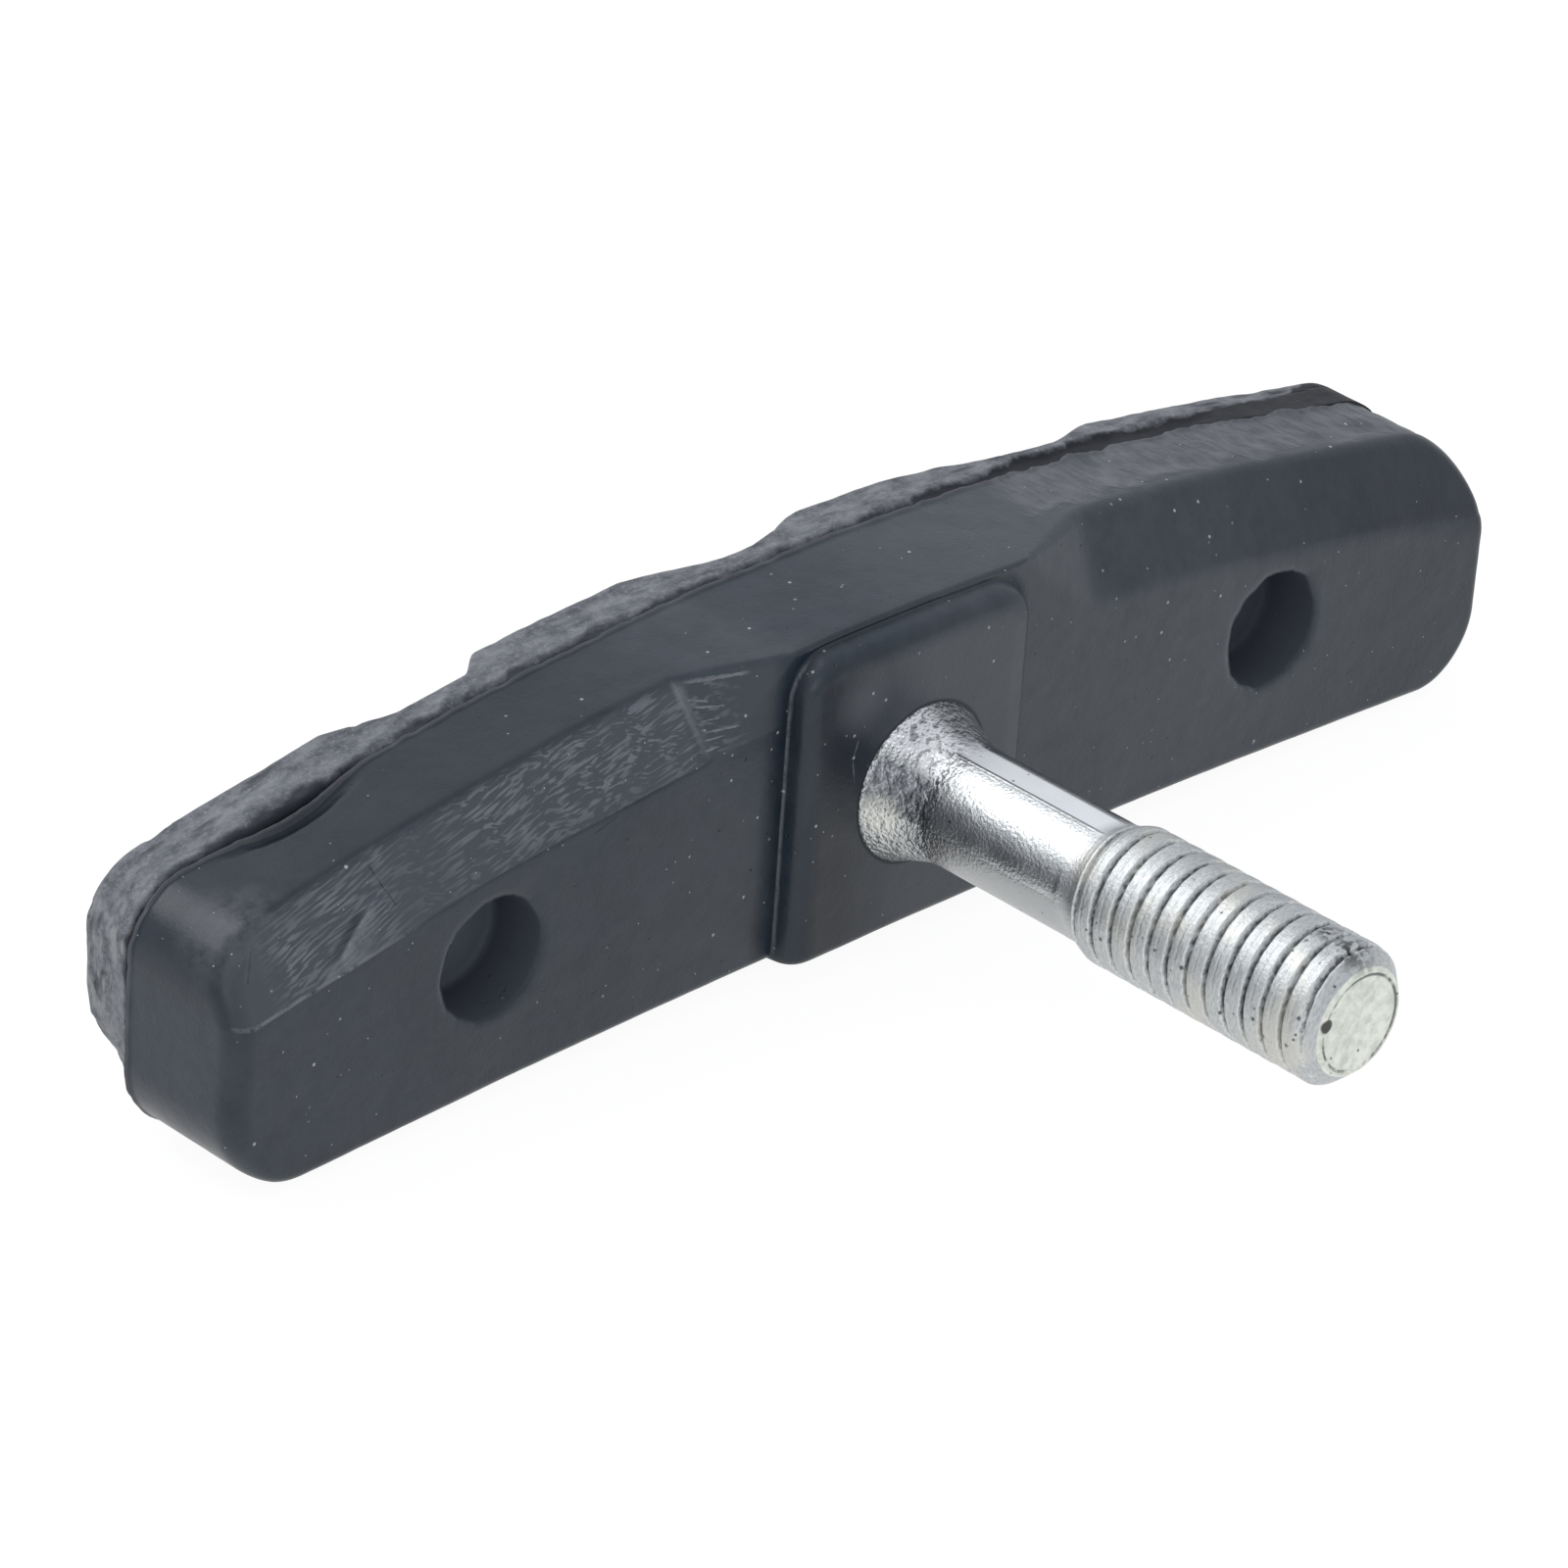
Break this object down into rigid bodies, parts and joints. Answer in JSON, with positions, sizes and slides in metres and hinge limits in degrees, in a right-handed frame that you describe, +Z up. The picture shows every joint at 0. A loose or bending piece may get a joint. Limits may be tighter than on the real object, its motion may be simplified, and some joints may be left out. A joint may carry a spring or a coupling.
{
  "type": "bicycle rim brake pad",
  "caption": "Arched rubber brake block with a threaded steel stud standing out of its back, for pressing on a bicycle wheel rim.",
  "frame": {"origin": "on the stud's axis, in the face of the boss that the stud comes out of", "axes": "+X along the block, +Y towards the wheel rim, so that the stud points along -Y, +Z up towards the block's arched edge"},
  "size_m": [0.0706, 0.0335, 0.0151],
  "materials": {
    "rubber": "moulded black rubber, satin, dusty",
    "plate_steel": "plain stamped steel",
    "zinc_plating": "bright zinc plating on rolled steel"
  },
  "bodies": {
    "root": {"rubber_block": "rubber", "backing_plate": "plate_steel", "threaded_stud": "zinc_plating"}
  },
  "joints": []
}
